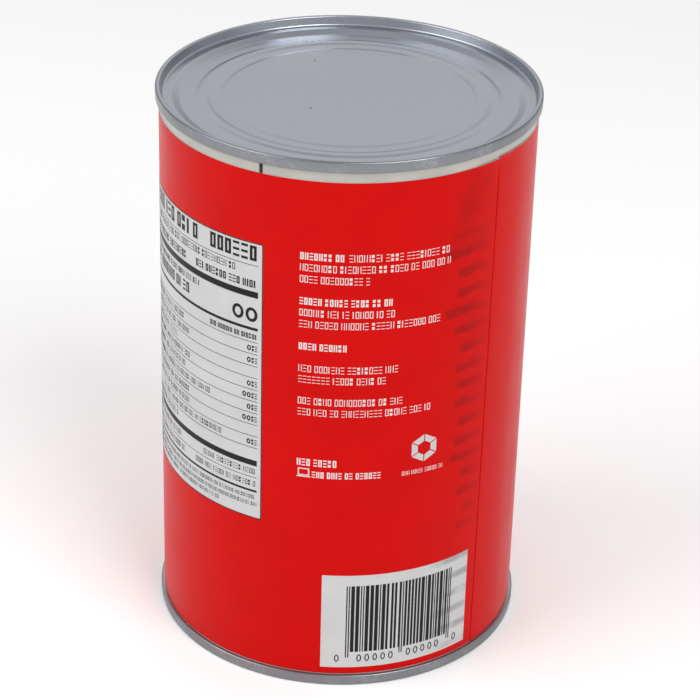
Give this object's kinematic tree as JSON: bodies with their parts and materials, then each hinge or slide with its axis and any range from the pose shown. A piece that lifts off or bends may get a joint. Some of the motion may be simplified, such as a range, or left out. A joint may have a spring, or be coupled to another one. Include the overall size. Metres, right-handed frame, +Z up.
{
  "type": "can of beans",
  "caption": "Tall sealed food can: welded steel body, double-seamed ends with stepped, beaded panels, and a lapped red paper label with panels of small print.",
  "frame": {"origin": "centre of the base, on the plane the bottom seam stands on", "axes": "+Z up along the can's axis; the pictured side of the label faces -Y"},
  "size_m": [0.1032, 0.1032, 0.1584],
  "materials": {
    "body_steel": "tin-plated steel wall with a pale lacquer, satin",
    "end_steel": "rolled tin-plated steel, satin, scuffed on the seams",
    "label_paper": "coated paper printed solid red, semi-gloss",
    "label_white": "unprinted white of the coated label paper",
    "label_black": "black printing ink on the label"
  },
  "bodies": {
    "root": {"can_body": "body_steel", "top_end": "end_steel", "bottom_end": "end_steel", "paper_label": "label_paper"}
  },
  "joints": []
}
